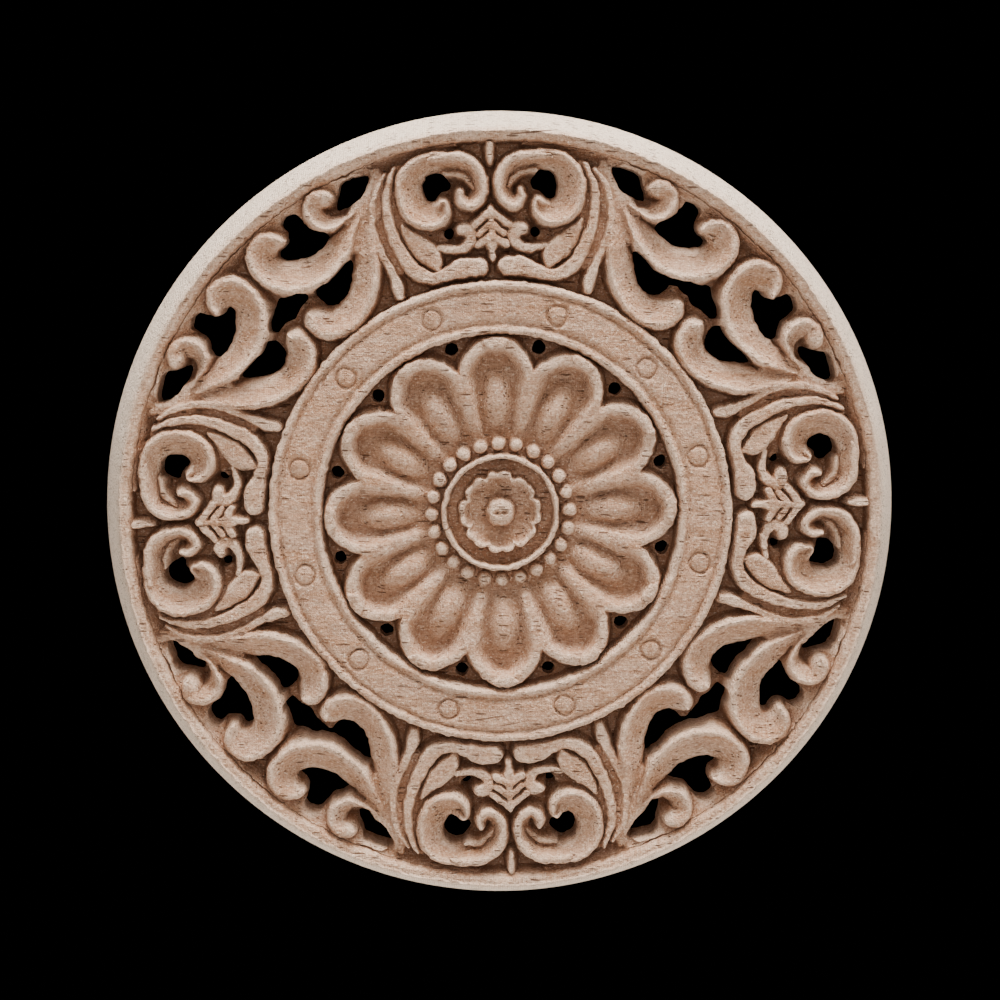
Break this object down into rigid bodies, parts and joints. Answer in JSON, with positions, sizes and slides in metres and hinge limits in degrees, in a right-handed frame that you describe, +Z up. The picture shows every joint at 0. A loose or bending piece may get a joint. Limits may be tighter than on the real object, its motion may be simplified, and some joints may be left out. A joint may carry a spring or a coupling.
{
  "type": "carved wood applique",
  "caption": "Round openwork applique of raw pale wood: a petalled rosette, a plain ring and scrollwork inside a rounded rim, flat behind.",
  "frame": {"origin": "centre of the flat back, in the plane that lies against the wall or furniture", "axes": "+Z up, +Y out of the flat back into the wall, carved face toward -Y, +X to the right seen from the front"},
  "size_m": [0.2, 0.015, 0.2],
  "materials": {
    "raw_wood": "raw, unsanded carving"
  },
  "bodies": {
    "root": {"carved_roundel": "raw_wood"}
  },
  "joints": []
}
